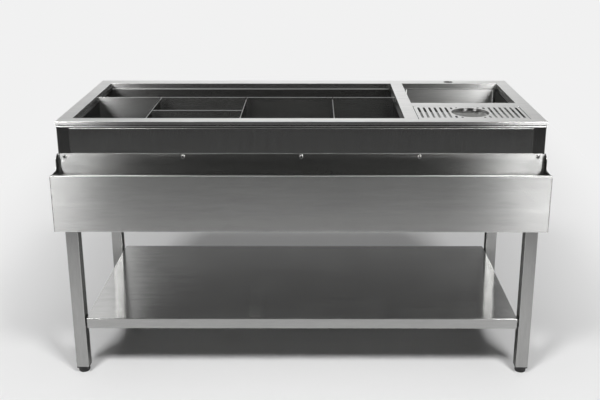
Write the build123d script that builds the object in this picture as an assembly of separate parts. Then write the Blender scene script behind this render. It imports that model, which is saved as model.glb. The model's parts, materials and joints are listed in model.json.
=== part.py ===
from build123d import *
from math import sqrt
import os

# A free-standing stainless bar station: a worktop with an ice bath, a basin and a drip grate,
# a bottle rail along the front, four tube legs on screw feet and a shelf near the floor.
# Millimetres. X runs left to right, Y front to back, Z up from the floor.
# The origin is on the floor, under the middle of the whole footprint, rail included.

# Worktop
TOP_W = 1500.0            # width of the worktop and of the rail
TOP_D = 600.0             # depth of the worktop, rail not counted
TOP_H = 865.0             # floor to worktop
SHEET = 1.5               # folded sheet of worktop, frame, aprons, rail and shelf
BEND = 2.0                # outside radius of a folded edge
CORNER = 3.0              # radius of an upright corner of the grate and the shelf
EDGE_LIP = 11.0           # drop of the worktop's outer edge
OPENING_LIP = 20.0        # drop of the edges round the three openings
BRIDGE = 42.0             # strip between the bath and the basin
BASIN_W = 347.0           # width of the basin and of the grate opening
STRIP = 45.0              # strip between the basin and the grate
STRIP_LAP = 4.0           # how far that strip and the bridge are let into their neighbours
GRATE_D = 169.0           # depth of the grate opening
GRATE_LEDGE = 31.0        # worktop left in front of the grate
TAP_ROOM = 8.0            # how much wider the rear ledge is than the others
TAP_HOLE_D = 33.0         # hole for a tap, behind the basin, in a plate under the worktop
TAP_EASE = 0.5            # how far the worktop's own hole stands back from that one
TAP_SPACE = 2.0           # room round the tap in the rear apron
TAP_PLATE = 4.0           # thickness of the tap plate
TAP_PLATE_W = 80.0
TAP_PLATE_FIT = 1.0       # gap between the tap plate and the frame
TAP_CHAMFER = 0.5

# Frame, legs and aprons
LIP_FIT = 0.5             # gap between the worktop's edge and the frame behind it
BAND = 10.5               # frame that shows below the worktop's edge
FRAME_FLANGE = 26.0       # width of the frame's top flange
LEG = 40.0                # square leg tube
LEG_WALL = 1.5
LEG_CORNER = 3.0
APRON_FLANGE = 15.0
RAIL_LAP = 52.0           # how far the aprons run below the rail's top edge

# Baths
TUB_SHEET = 1.2
TUB_STEP = 6.0            # seat left round each bath, under the worktop's edge
TUB_FLANGE = 7.0          # flange beyond the opening
TUB_FOLD = 2.2            # outside radius of the fold from a wall to the seat
TUB_CORNER = 12.0         # inside upright corner of the basin and the drip tray
TUB_BEND = 8.0            # inside edge of a floor
BATH_DEPTH = 250.0        # worktop to floor of the ice bath
BASIN_DEPTH = 200.0
TRAY_DEPTH = 60.0

# Wastes
WASTE_D = 70.0            # flange of a waste
WASTE_RIM = 2.0           # thickness of that flange
SPIGOT_D = 46.0           # part of the flange that passes through the floor
SPIGOT_WALL = 1.2
SPIGOT_L = 14.0
WASTE_FIT = 0.4           # room round the spigot
GASKET = 2.5
BODY_WALL = 3.0
BODY_CUP = 60.0           # depth of the body below the gasket
BAR_DROP = 13.0           # bar that takes the screw, below the gasket
BAR_H = 6.0
TAIL_D = 40.0             # outlet towards the back
TAIL_L = 32.0
TAIL_STOP = 4.0           # ring at its root that a pipe is pushed against
GRID_HOLE_D = 7.0
GRID_HOLES = 8
GRID_PCD = 27.0
WASTE_SCREW_D = 6.0

# Dividers
DIVIDER = 1.5             # sheet of the dividers
HEM = 10.0                # height of the folded top edge
LIFT_FIT = 1.0            # room at each end of a lift-out piece
LONG_DROP = 5.0           # top of the long divider below the worktop
CROSS_DROP = 14.0         # top of the cross dividers below the worktop
REAR_CELL_D = 198.0       # bath behind the long divider
CROSS_PITCH = 297.0       # cross divider to cross divider
FLOOR_GAP = 8.0           # room under the dividers for melt water
TONGUE_H = 12.0           # tongue of a cross divider in the long one's notch
TONGUE_PROUD = 3.0        # tongue beyond the long divider
NOTCH_FIT = 0.75          # room each side of the tongue

# Drip grate
GRATE_GAP = 2.0           # room left and right of the grate
GRATE_DROP = 0.5          # top of the grate below the worktop
SLOT_W = 7.5
SLOT_L = 132.0
SLOT_PITCH = 17.5
SLOT_MARGIN = 8.0         # least plate beside the outer slots
HOLE_D = 118.0            # round hole in the middle of the grate
HOLE_RIM = 6.0            # plate left between that hole and the slots
COLLAR_H = 9.0            # turned-down collar of the round hole

# Bottle rail
RAIL_D = 94.0             # back to front
RAIL_DROP = 102.0         # top of the back plate below the worktop
RAIL_BACK_H = 222.0       # height of the back plate
RAIL_FRONT_H = 180.0      # height of the front plate
RAIL_RETURN = 10.0        # folded top edge of the front plate
RAIL_CORNER = 10.0        # rounded top corners of the back plate
END_STRIP = 25.0          # width of an end plate beside the back plate
END_DIP = 4.0             # end plate below the top of the front plate
END_HOLLOW = 14.0         # inside curve of an end plate
END_ROUND = 18.0          # rounded top of an end plate

# Rail screws
SCREW_COUNT = 5
SCREW_D = 6.0
SCREW_DROP = 9.5          # below the top of the back plate
SCREW_HEAD_D = 12.0
SCREW_HEAD_H = 4.0
SCREW_FIT = 0.3           # room round a screw or bolt in its hole
CROSS_W = 2.4             # arm of the cross recess in the heads
CROSS_L = 9.0             # tip to tip of its arms
CROSS_DEPTH = 2.0
NUT_AF = 10.0
NUT_H = 5.0
SCREW_TIP = 2.0           # thread beyond the nut

# Shelf
SHELF_H = 200.0           # floor to shelf
SHELF_LIP = 35.0
SHELF_RETURN = 12.0
SHELF_GAP = 5.0           # between the shelf and the legs
STIFFENER_W = 60.0
STIFFENER_H = 25.0
STIFFENER_END = 25.0      # room at the ends of the stiffeners
BOLT_D = 8.0
BOLT_AF = 13.0
BOLT_HEAD_H = 5.3
BOLT_NUT_H = 6.5
SPACER_D = 18.0

# Feet
COLLAR = 4.0              # rim of the leg insert under the tube
INSERT_L = 30.0           # insert inside the tube
INSERT_FIT = 0.2
PAD_D = 36.0
PAD_H = 18.0
PAD_ROUND = 3.0
PAD_CUP_D = 21.0          # recess in the pad for the stem's hexagon
STEM_D = 10.0
STEM_L = 44.0             # thread above the pad
STEM_AF = 15.0
STEM_HEX_H = 6.0
STEM_PIN = 5.0            # length of the stem's end in the pad
STEM_FIT = 0.4            # room round the stem

# How near two places are the same place
TOUCH = 0.01

# Places that follow from the sizes
half_w = TOP_W / 2
frame_inset = SHEET + LIP_FIT
ledge = frame_inset + LEG
rear_ledge = ledge + TAP_ROOM
front = (RAIL_D - frame_inset - TOP_D) / 2
rear = front + TOP_D
face = front + frame_inset
back_face = rear - frame_inset
side_face = half_w - frame_inset
leg_inner = side_face - LEG
leg_axis = side_face - LEG / 2
front_leg_y = face + LEG / 2
rear_leg_y = back_face - LEG / 2
seat = TOP_H - OPENING_LIP
frame_bottom = TOP_H - EDGE_LIP - BAND
leg_bottom = PAD_H + COLLAR
rail_top = TOP_H - RAIL_DROP
rail_bottom = rail_top - RAIL_BACK_H
rail_front = face - RAIL_D
rail_front_top = rail_bottom + RAIL_FRONT_H
rail_end = half_w - SHEET
apron_bottom = rail_top - RAIL_LAP
screw_z = rail_top - SCREW_DROP
screw_pitch = 2 * leg_axis / (SCREW_COUNT - 1)
shelf_half = leg_inner - SHELF_GAP
bolt_z = SHELF_H - SHELF_LIP / 2

# Rectangles are (left, right, front, rear)
top_rect = (-half_w, half_w, front, rear)
frame_rect = (-side_face, side_face, face, back_face)
shelf_rect = (-shelf_half, shelf_half, face, back_face)
basin_left = leg_inner - BASIN_W
grate_rear = front + GRATE_LEDGE + GRATE_D
bath_open = (-leg_inner, basin_left - BRIDGE, front + ledge, rear - rear_ledge)
basin_open = (basin_left, leg_inner, grate_rear + STRIP, rear - rear_ledge)
grate_open = (basin_left, leg_inner, front + GRATE_LEDGE, grate_rear)

basin_x = (basin_open[0] + basin_open[1]) / 2
tap_y = rear - rear_ledge / 2
tap_plate_rect = (
    basin_x - TAP_PLATE_W / 2,
    basin_x + TAP_PLATE_W / 2,
    basin_open[3] + SHEET + TAP_PLATE_FIT,
    back_face - SHEET - TAP_PLATE_FIT,
)
long_y = bath_open[3] - TUB_STEP - REAR_CELL_D
bath_x = (bath_open[0] + bath_open[1]) / 2
cross_places = [bath_x + step * CROSS_PITCH for step in (-1, 0, 1)]
bath_floor = TOP_H - BATH_DEPTH


def inset(rect, by):
    """The rectangle made smaller on all four sides, or larger where by is negative."""
    left, right, near, far = rect
    return (left + by, right - by, near + by, far - by)


def block(rect, low, high):
    """An upright block on a rectangle, from one height to another."""
    left, right, near, far = rect
    place = Pos((left + right) / 2, (near + far) / 2, (low + high) / 2)
    return place * Box(right - left, far - near, high - low)


def corners_of(rect):
    left, right, near, far = rect
    return [(left, near), (right, near), (right, far), (left, far)]


def rod(x, y, low, high, diameter):
    """An upright cylinder."""
    return Pos(x, y, (low + high) / 2) * Cylinder(diameter / 2, high - low)


def rod_x(start, end, y, z, diameter):
    """A cylinder that lies along X."""
    return Pos((start + end) / 2, y, z) * Rot(0, 90, 0) * Cylinder(diameter / 2, abs(end - start))


def rod_y(x, start, end, z, diameter):
    """A cylinder that lies along Y."""
    return Pos(x, (start + end) / 2, z) * Rot(90, 0, 0) * Cylinder(diameter / 2, abs(end - start))


def hexagon(across, height):
    """An upright six-sided prism on the origin's level, flats along X."""
    return extrude(RegularPolygon(across / 2, 6, major_radius=False), height)


def ring(outer, inner, low, high):
    """A flat rectangular frame between two heights."""
    return block(outer, low, high) - block(inner, low, high)


def pan(rect, top, drop):
    """A sheet folded down on all four sides, with rounded folds."""
    shape = block(rect, top - drop, top)
    shape = fillet(shape.edges().filter_by(Axis.Z), CORNER)
    shape = fillet(shape.faces().sort_by(Axis.Z)[-1].edges(), BEND)
    return shape - block(inset(rect, SHEET), top - drop, top - SHEET)


def tap_space(diameter, low, high):
    """The room that a tap's shank takes, through the worktop and what lies under it."""
    return rod(basin_x, tap_y, low, high, diameter)


def strip_outlines():
    """The worktop's strips seen from above: a cross strip and a bridge, let into four mitred sides."""
    left, right, near, far = top_rect
    bath_left, bath_right, bath_near, bath_far = bath_open
    grate_left, grate_right, grate_near, grate_far = grate_open
    front_left, front_right, rear_left, rear_right = (left, near), (right, near), (left, far), (right, far)
    near_left, near_right = (bath_left, bath_near), (grate_right, grate_near)
    far_left, far_right = (bath_left, bath_far), (grate_right, bath_far)
    step = [(grate_left, grate_near), (grate_left, bath_near)]
    cross = (grate_left - STRIP_LAP, grate_right + STRIP_LAP, grate_far, basin_open[2])
    bridge = (bath_right, grate_left, bath_near - STRIP_LAP, bath_far + STRIP_LAP)
    return {
        "worktop_cross_strip": corners_of(cross),
        "worktop_bridge": corners_of(bridge),
        "worktop_front": [front_left, front_right, near_right, *step, near_left],
        "worktop_rear": [rear_right, rear_left, far_left, far_right],
        "worktop_left": [front_left, near_left, far_left, rear_left],
        "worktop_right": [front_right, rear_right, far_right, near_right],
    }


def on_rim(edge):
    """Whether an edge lies on the outline of the worktop or of one of its openings."""
    spot = edge.center()
    for left, right, near, far in (top_rect, bath_open, basin_open, grate_open):
        beside = min(abs(spot.X - left), abs(spot.X - right)) < TOUCH and near < spot.Y < far
        along = min(abs(spot.Y - near), abs(spot.Y - far)) < TOUCH and left < spot.X < right
        if beside or along:
            return True
    return False


def make_worktop():
    """Folded strips, welded into one top with three openings."""
    shape = block(top_rect, TOP_H - EDGE_LIP, TOP_H)
    shape -= block(inset(top_rect, SHEET), TOP_H - EDGE_LIP, TOP_H - SHEET)
    for opening in (bath_open, basin_open, grate_open):
        shape += block(inset(opening, -SHEET), seat, TOP_H - SHEET / 2)
        shape -= block(opening, seat, TOP_H)
    shape -= tap_space(TAP_HOLE_D + 2 * TAP_EASE, TOP_H - SHEET, TOP_H)
    strips = {}
    for name, outline in strip_outlines().items():
        cut = extrude(Pos(0, 0, seat) * Polygon(*outline, align=None), TOP_H - seat)
        strip = shape & cut
        shape -= cut
        folds = [e for e in strip.faces().sort_by(Axis.Z)[-1].outer_wire().edges() if on_rim(e)]
        strips[name] = fillet(folds, BEND)
    return strips


def make_tap_plate():
    """Stiffens the worktop round the tap's hole, in a gap of the frame's flange."""
    high = TOP_H - SHEET
    shape = block(tap_plate_rect, high - TAP_PLATE, high)
    shape -= tap_space(TAP_HOLE_D, high - TAP_PLATE, high)
    return chamfer(shape.edges().filter_by(GeomType.CIRCLE), TAP_CHAMFER)


def make_top_frame():
    high = TOP_H - SHEET
    shape = block(frame_rect, frame_bottom, high)
    shape -= block(inset(frame_rect, SHEET), frame_bottom, high - SHEET)
    shape -= block(inset(frame_rect, FRAME_FLANGE), high - SHEET, high)
    return shape - block(inset(tap_plate_rect, -TAP_PLATE_FIT), high - SHEET, high)


def make_leg(side, y):
    """A leg tube: side is -1 on the left and 1 on the right, y its axis."""
    x = side * leg_axis
    rect = (x - LEG / 2, x + LEG / 2, y - LEG / 2, y + LEG / 2)
    shape = block(rect, leg_bottom, frame_bottom)
    shape = fillet(shape.edges().filter_by(Axis.Z), LEG_CORNER)
    shape -= block(inset(rect, LEG_WALL), leg_bottom, frame_bottom)
    inner_face = side * leg_inner
    shape -= rod_x(inner_face, inner_face + side * LEG_WALL, y, bolt_z, BOLT_D + 2 * SCREW_FIT)
    if y == front_leg_y:
        shape -= rod_y(x, face, face + LEG_WALL, screw_z, SCREW_D + 2 * SCREW_FIT)
    return shape


def make_apron(rect, hollow, outer_edges):
    """A channel between two legs, its web outside: hollow is the rectangle left of it inside."""
    shape = block(rect, apron_bottom, frame_bottom)
    shape -= block(hollow, apron_bottom + SHEET, frame_bottom - SHEET)
    return fillet(outer_edges(shape), BEND)


def make_front_apron():
    rect = (-leg_inner, leg_inner, face, face + APRON_FLANGE)
    hollow = (-leg_inner, leg_inner, face + SHEET, face + APRON_FLANGE)
    shape = make_apron(rect, hollow, lambda s: s.edges().filter_by(Axis.X).group_by(Axis.Y)[0])
    for x in screw_places()[1:-1]:
        shape -= rod_y(x, face, face + SHEET, screw_z, SCREW_D + 2 * SCREW_FIT)
    return shape


def make_rear_apron():
    rect = (-leg_inner, leg_inner, back_face - APRON_FLANGE, back_face)
    hollow = (-leg_inner, leg_inner, back_face - APRON_FLANGE, back_face - SHEET)
    shape = make_apron(rect, hollow, lambda s: s.edges().filter_by(Axis.X).group_by(Axis.Y)[-1])
    return shape - tap_space(TAP_HOLE_D + 2 * TAP_SPACE, frame_bottom - SHEET, frame_bottom)


def make_side_apron(side):
    outer = side * side_face
    web = side * (side_face - SHEET)
    inner = side * (side_face - APRON_FLANGE)
    near, far = front_leg_y + LEG / 2, rear_leg_y - LEG / 2
    rect = (min(outer, inner), max(outer, inner), near, far)
    hollow = (min(web, inner), max(web, inner), near, far)
    at_outside = 0 if side < 0 else -1
    return make_apron(rect, hollow, lambda s: s.edges().filter_by(Axis.Y).group_by(Axis.X)[at_outside])


def fold_seat(shape):
    """Round the fold between a bath's walls and its seat, above and below the sheet."""
    for level, radius in ((-1, TUB_FOLD), (-2, TUB_FOLD - TUB_SHEET)):
        flat = shape.faces().filter_by(Axis.Z).sort_by(Axis.Z)[level]
        shape = fillet(flat.inner_wires()[0].edges(), radius)
    return shape


def make_ice_bath(opening, depth, waste):
    """The large bath: front, floor and rear folded from one sheet, with a plate welded in at each end."""
    inner = inset(opening, TUB_STEP)
    rim = inset(opening, -TUB_FLANGE)
    floor = TOP_H - depth
    low = floor - TUB_SHEET
    shape = block(inset(inner, -TUB_SHEET), low, seat)
    shape = fillet(shape.edges().filter_by(Axis.X).group_by(Axis.Z)[0], TUB_BEND + TUB_SHEET)
    shape += block(rim, seat - TUB_SHEET, seat)
    hollow = block(inner, floor, seat)
    shape -= fillet(hollow.edges().filter_by(Axis.X).group_by(Axis.Z)[0], TUB_BEND)
    shape = fold_seat(shape - rod(*waste, low, floor, SPIGOT_D + 2 * WASTE_FIT))
    spans = {
        "ice_bath": (inner[0], inner[1]),
        "bath_left_end": (rim[0], inner[0]),
        "bath_right_end": (inner[1], rim[1]),
    }
    return {name: shape & block((*span, rim[2], rim[3]), low, seat) for name, span in spans.items()}


def make_tub(opening, depth, waste):
    """A bowl under an opening, with a seat round its top and a hole for its waste."""
    inner = inset(opening, TUB_STEP)
    floor = TOP_H - depth
    shape = block(inset(inner, -TUB_SHEET), floor - TUB_SHEET, seat)
    shape = fillet(shape.edges().filter_by(Axis.Z), TUB_CORNER + TUB_SHEET)
    shape = fillet(shape.faces().sort_by(Axis.Z)[0].edges(), TUB_BEND + TUB_SHEET)
    shape += block(inset(opening, -TUB_FLANGE), seat - TUB_SHEET, seat)
    hollow = block(inner, floor, seat)
    hollow = fillet(hollow.edges().filter_by(Axis.Z), TUB_CORNER)
    hollow = fillet(hollow.faces().sort_by(Axis.Z)[0].edges(), TUB_BEND)
    shape -= hollow + rod(*waste, floor - TUB_SHEET, floor, SPIGOT_D + 2 * WASTE_FIT)
    return fold_seat(shape)


def make_waste(x, y, floor):
    """A waste through a bath's floor: grid flange, gasket, body with a tail to the back, and the screw."""
    under = floor - TUB_SHEET
    spigot_inner = SPIGOT_D - 2 * SPIGOT_WALL
    flange = rod(x, y, floor, floor + WASTE_RIM, WASTE_D)
    flange = fillet(flange.edges().sort_by(Axis.Z)[-1], WASTE_RIM / 2)
    flange += rod(x, y, floor - SPIGOT_L, floor, SPIGOT_D)
    flange -= rod(x, y, floor - SPIGOT_L, floor + WASTE_RIM / 2 - SPIGOT_WALL, spigot_inner)
    for spot in PolarLocations(GRID_PCD / 2, GRID_HOLES):
        flange -= Pos(x, y, floor) * spot * Cylinder(GRID_HOLE_D / 2, 4 * WASTE_RIM)
    flange -= rod(x, y, floor - WASTE_RIM, floor + WASTE_RIM, WASTE_SCREW_D + 2 * SCREW_FIT)

    gasket_low = under - GASKET
    gasket = rod(x, y, gasket_low, under, WASTE_D)
    gasket -= rod(x, y, gasket_low, under, SPIGOT_D + 2 * WASTE_FIT)

    cup_low = gasket_low - BODY_CUP
    cup_inner = SPIGOT_D + 2 * WASTE_FIT
    cup_outer = cup_inner + 2 * BODY_WALL
    tail_z = cup_low + TAIL_STOP + TAIL_D / 2
    stop_y = y + cup_outer / 2 + TAIL_STOP
    tail_y = stop_y + TAIL_L
    body = rod(x, y, gasket_low - BODY_WALL, gasket_low, WASTE_D)
    body += rod(x, y, cup_low, gasket_low, cup_outer)
    body += rod_y(x, y + cup_outer / 4, stop_y, tail_z, TAIL_D + 2 * TAIL_STOP)
    body += rod_y(x, stop_y, tail_y, tail_z, TAIL_D)
    body -= rod(x, y, cup_low + BODY_WALL, gasket_low, cup_inner)
    body -= rod_y(x, y, tail_y, tail_z, TAIL_D - 2 * BODY_WALL)
    bar_high = gasket_low - BAR_DROP
    bar_low = bar_high - BAR_H
    reach = (cup_inner + BODY_WALL) / 2
    body += block((x - reach, x + reach, y - BODY_WALL / 2, y + BODY_WALL / 2), bar_low, bar_high)
    body += rod(x, y, bar_low, bar_high, WASTE_SCREW_D + 2 * (SCREW_FIT + BODY_WALL))
    body -= rod(x, y, bar_low, bar_high, WASTE_SCREW_D + 2 * SCREW_FIT)

    screw = rod(x, y, bar_low, floor + WASTE_RIM, WASTE_SCREW_D)
    head = rod(x, y, floor + WASTE_RIM, floor + 2 * WASTE_RIM, 2 * WASTE_SCREW_D)
    screw += fillet(head.edges().sort_by(Axis.Z)[-1], WASTE_RIM / 2)
    slot = (x - WASTE_SCREW_D, x + WASTE_SCREW_D, y - CROSS_W / 2, y + CROSS_W / 2)
    screw -= block(slot, floor + 1.5 * WASTE_RIM, floor + 2 * WASTE_RIM)
    return {"waste_flange": flange, "waste_gasket": gasket, "waste_body": body, "waste_screw": screw}


def hemmed(rect, low, high):
    """A folded, rounded top edge of a divider, twice its sheet."""
    bar = block(rect, low, high)
    along = Axis.X if rect[1] - rect[0] > rect[3] - rect[2] else Axis.Y
    return fillet(bar.edges().filter_by(along).group_by(Axis.Z)[-1], 0.45 * DIVIDER)


def make_long_divider():
    """Hangs across the bath by its ears, with a notch for each cross divider."""
    high = TOP_H - LONG_DROP
    left, right = bath_open[0], bath_open[1]
    ears = (left + LIFT_FIT, right - LIFT_FIT, long_y - DIVIDER / 2, long_y + DIVIDER / 2)
    hem = (ears[0], ears[1], long_y - DIVIDER, long_y + DIVIDER)
    inner_left, inner_right = left + TUB_STEP + LIFT_FIT, right - TUB_STEP - LIFT_FIT
    web = (inner_left, inner_right, long_y - DIVIDER / 2, long_y + DIVIDER / 2)
    shape = block(web, bath_floor + FLOOR_GAP, seat) + block(ears, seat, high - HEM / 2)
    shape += hemmed(hem, high - HEM, high)
    for x in cross_places:
        notch = (x - DIVIDER / 2 - NOTCH_FIT, x + DIVIDER / 2 + NOTCH_FIT, hem[2], hem[3])
        shape -= block(notch, TOP_H - CROSS_DROP - TONGUE_H, high)
    return shape


def make_cross_divider(x):
    """Rests on the bath's front seat and, by its tongue, in a notch of the long divider."""
    high = TOP_H - CROSS_DROP
    near = bath_open[2] + LIFT_FIT
    inner_near = bath_open[2] + TUB_STEP + LIFT_FIT
    far = long_y - DIVIDER - LIFT_FIT
    web = (x - DIVIDER / 2, x + DIVIDER / 2, inner_near, far)
    ear = (x - DIVIDER / 2, x + DIVIDER / 2, near, inner_near)
    tongue = (x - DIVIDER / 2, x + DIVIDER / 2, far, long_y + DIVIDER + TONGUE_PROUD)
    hem = (x - DIVIDER, x + DIVIDER, inner_near, far)
    shape = block(web, bath_floor + FLOOR_GAP, high - HEM / 2) + block(ear, seat, high)
    shape += block(tongue, high - TONGUE_H, high)
    return shape + hemmed(hem, high - HEM, high)


def make_short_divider(left, right):
    """Joins two cross dividers halfway between the bath's front and the long divider."""
    high = TOP_H - CROSS_DROP
    y = (bath_open[2] + TUB_STEP + long_y) / 2
    web = (left + DIVIDER / 2, right - DIVIDER / 2, y - DIVIDER / 2, y + DIVIDER / 2)
    hem = (left + DIVIDER, right - DIVIDER, y - DIVIDER, y + DIVIDER)
    return block(web, bath_floor + FLOOR_GAP, high - HEM) + hemmed(hem, high - HEM, high)


def grate_slots(width):
    """The grate's slots as (x, y, length), cut short where the round hole is in the way."""
    count = int((width - 2 * SLOT_MARGIN - SLOT_W) / SLOT_PITCH) + 1
    keep_out = HOLE_D / 2 + HOLE_RIM
    slots = []
    for i in range(count):
        x = (i - (count - 1) / 2) * SLOT_PITCH
        nearest = max(abs(x) - SLOT_W / 2, 0)
        if nearest >= keep_out:
            slots.append((x, 0, SLOT_L))
            continue
        start = sqrt(keep_out ** 2 - nearest ** 2)
        length = SLOT_L / 2 - start
        if length > SLOT_W:
            middle = start + length / 2
            slots += [(x, middle, length), (x, -middle, length)]
    return slots


def make_drip_grate():
    """A slotted plate with turned-down sides that stand on the seat of its opening."""
    high = TOP_H - GRATE_DROP
    left, right, near, far = grate_open
    rect = (left + GRATE_GAP, right - GRATE_GAP, near + LIFT_FIT, far - LIFT_FIT)
    x, y = (left + right) / 2, (near + far) / 2
    shape = pan(rect, high, high - seat)
    shape += rod(x, y, high - COLLAR_H, high - SHEET / 2, HOLE_D + 2 * SHEET)
    shape -= rod(x, y, high - COLLAR_H, high, HOLE_D)
    for dx, dy, length in grate_slots(rect[1] - rect[0]):
        slot = extrude(Rot(0, 0, 90) * SlotOverall(length, SLOT_W), 2 * SHEET)
        shape -= Pos(x + dx, y + dy, high - 1.5 * SHEET) * slot
    return shape


def screw_places():
    """Rail screws along X: the outer two are on the legs' axes."""
    return [-leg_axis + i * screw_pitch for i in range(SCREW_COUNT)]


def make_rail_trough():
    """One sheet folded into back, floor, front and a narrow return along the front's top."""
    span = (-rail_end, rail_end)
    back = block((*span, face - SHEET, face), rail_bottom, rail_top)
    back = fillet(back.edges().filter_by(Axis.Y).group_by(Axis.Z)[-1], RAIL_CORNER)
    shape = back + block((*span, rail_front, face), rail_bottom, rail_bottom + SHEET)
    shape += block((*span, rail_front, rail_front + SHEET), rail_bottom, rail_front_top)
    shape += block((*span, rail_front, rail_front + RAIL_RETURN), rail_front_top - SHEET, rail_front_top)
    folds = shape.edges().filter_by(Axis.X)
    corners = [(0, face, rail_bottom), (0, rail_front, rail_bottom), (0, rail_front, rail_front_top)]
    shape = fillet([folds.sort_by_distance(c)[0] for c in corners], BEND)
    for x in screw_places():
        shape -= rod_y(x, face - SHEET, face, screw_z, SCREW_D + 2 * SCREW_FIT)
    return shape


def make_rail_end(side):
    """An end plate: a narrow upright beside the back plate, swept down to the front plate."""
    span = (min(side * rail_end, side * half_w), max(side * rail_end, side * half_w))
    dip = rail_front_top - END_DIP
    strip = face - END_STRIP
    shape = block((*span, rail_front, face), rail_bottom, dip)
    shape += block((*span, strip, face), dip, rail_top)
    edges = shape.edges().filter_by(Axis.X)
    hollow = edges.sort_by_distance((side * half_w, strip, dip))[0]
    shape = fillet(hollow, END_HOLLOW)
    edges = shape.edges().filter_by(Axis.X)
    shape = fillet(edges.sort_by_distance((side * half_w, strip, rail_top))[0], END_ROUND)
    edges = shape.edges().filter_by(Axis.X)
    corners = [(side * half_w, y, rail_bottom) for y in (face, rail_front)]
    return fillet([edges.sort_by_distance(c)[0] for c in corners], BEND)


def make_rail_screw(x):
    """A pan-head screw with a cross recess, its head on the front of the back plate."""
    seat_y = face - SHEET
    shape = rod_y(x, seat_y, face + SHEET + NUT_H + SCREW_TIP, screw_z, SCREW_D)
    head = rod_y(x, seat_y - SCREW_HEAD_H, seat_y, screw_z, SCREW_HEAD_D)
    shape += fillet(head.edges().sort_by(Axis.Y)[0], 0.6 * SCREW_HEAD_H)
    deep = seat_y - SCREW_HEAD_H + CROSS_DEPTH
    for wide, tall in ((CROSS_L, CROSS_W), (CROSS_W, CROSS_L)):
        arm = (x - wide / 2, x + wide / 2, seat_y - SCREW_HEAD_H, deep)
        shape -= block(arm, screw_z - tall / 2, screw_z + tall / 2)
    return shape


def make_rail_nut(x):
    nut = Pos(x, face + SHEET, screw_z) * Rot(-90, 0, 0) * hexagon(NUT_AF, NUT_H)
    return nut - rod_y(x, face + SHEET, face + SHEET + NUT_H, screw_z, SCREW_D + 2 * SCREW_FIT)


def make_shelf():
    shape = pan(shelf_rect, SHELF_H, SHELF_LIP)
    low = SHELF_H - SHELF_LIP
    shape += ring(inset(shelf_rect, SHEET / 2), inset(shelf_rect, SHELF_RETURN), low, low + SHEET)
    for side in (-1, 1):
        for y in (front_leg_y, rear_leg_y):
            edge = side * shelf_half
            shape -= rod_x(edge - side * SHEET, edge, y, bolt_z, BOLT_D + 2 * SCREW_FIT)
    return shape


def make_shelf_stiffener(y):
    """A channel welded under the shelf, open side up."""
    half = shelf_half - STIFFENER_END
    high = SHELF_H - SHEET
    rect = (-half, half, y - STIFFENER_W / 2, y + STIFFENER_W / 2)
    hollow = (-half, half, rect[2] + SHEET, rect[3] - SHEET)
    return block(rect, high - STIFFENER_H, high) - block(hollow, high - STIFFENER_H + SHEET, high)


def leg_corners():
    return [(side, y) for side in (-1, 1) for y in (front_leg_y, rear_leg_y)]


def make_shelf_bolt(side, y):
    """A hexagon bolt from inside the shelf's lip, through the spacer and the leg's wall."""
    head_x = side * (shelf_half - SHEET)
    tip = side * (leg_inner + LEG_WALL + BOLT_NUT_H + SCREW_TIP)
    head = Pos(head_x, y, bolt_z) * Rot(0, -90 * side, 0) * hexagon(BOLT_AF, BOLT_HEAD_H)
    return head + rod_x(head_x, tip, y, bolt_z, BOLT_D)


def make_shelf_nut(side, y):
    start = side * (leg_inner + LEG_WALL)
    nut = Pos(start, y, bolt_z) * Rot(0, 90 * side, 0) * hexagon(BOLT_AF, BOLT_NUT_H)
    return nut - rod_x(start, start + side * BOLT_NUT_H, y, bolt_z, BOLT_D + 2 * SCREW_FIT)


def make_shelf_spacer(side, y):
    start, end = side * shelf_half, side * leg_inner
    shape = rod_x(start, end, y, bolt_z, SPACER_D)
    return shape - rod_x(start, end, y, bolt_z, BOLT_D + 2 * SCREW_FIT)


def make_leg_insert(x, y):
    """A plug in the end of a leg tube, with a rim under the tube and a bore for the stem."""
    rect = (x - LEG / 2, x + LEG / 2, y - LEG / 2, y + LEG / 2)
    rim = block(rect, PAD_H, leg_bottom)
    rim = fillet(rim.edges().filter_by(Axis.Z), LEG_CORNER)
    shape = rim + block(inset(rect, LEG_WALL + INSERT_FIT), leg_bottom, leg_bottom + INSERT_L)
    return shape - rod(x, y, PAD_H, leg_bottom + INSERT_L, STEM_D + 2 * STEM_FIT)


def make_pad(x, y):
    """A round foot with a recess for the stem's hexagon and a socket for its end."""
    shape = rod(x, y, 0, PAD_H, PAD_D)
    shape = fillet(shape.edges().filter_by(GeomType.CIRCLE), PAD_ROUND)
    cup = PAD_H - STEM_HEX_H - 2 * STEM_FIT
    shape -= rod(x, y, cup, PAD_H, PAD_CUP_D)
    return shape - rod(x, y, cup - STEM_PIN, cup, STEM_D + 2 * STEM_FIT)


def make_stem(x, y):
    """The foot's screw: its end turns in the pad, its hexagon takes a spanner."""
    hex_low = PAD_H - STEM_HEX_H - STEM_FIT
    shape = rod(x, y, hex_low - STEM_PIN + STEM_FIT, PAD_H + STEM_L, STEM_D)
    return shape + Pos(x, y, hex_low) * hexagon(STEM_AF, STEM_HEX_H)


def group(pieces):
    """Several separate solids that share one node."""
    return Compound(children=list(pieces))


leg_places = {
    "front_left": (-1, front_leg_y),
    "front_right": (1, front_leg_y),
    "rear_left": (-1, rear_leg_y),
    "rear_right": (1, rear_leg_y),
}
bath_waste = (bath_x, long_y + REAR_CELL_D / 2)
basin_waste = (basin_x, (basin_open[2] + basin_open[3]) / 2)
tray_waste = (basin_x, (grate_open[2] + grate_open[3]) / 2)
stiffener_places = [front + TOP_D * third / 3 for third in (1, 2)]

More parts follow.
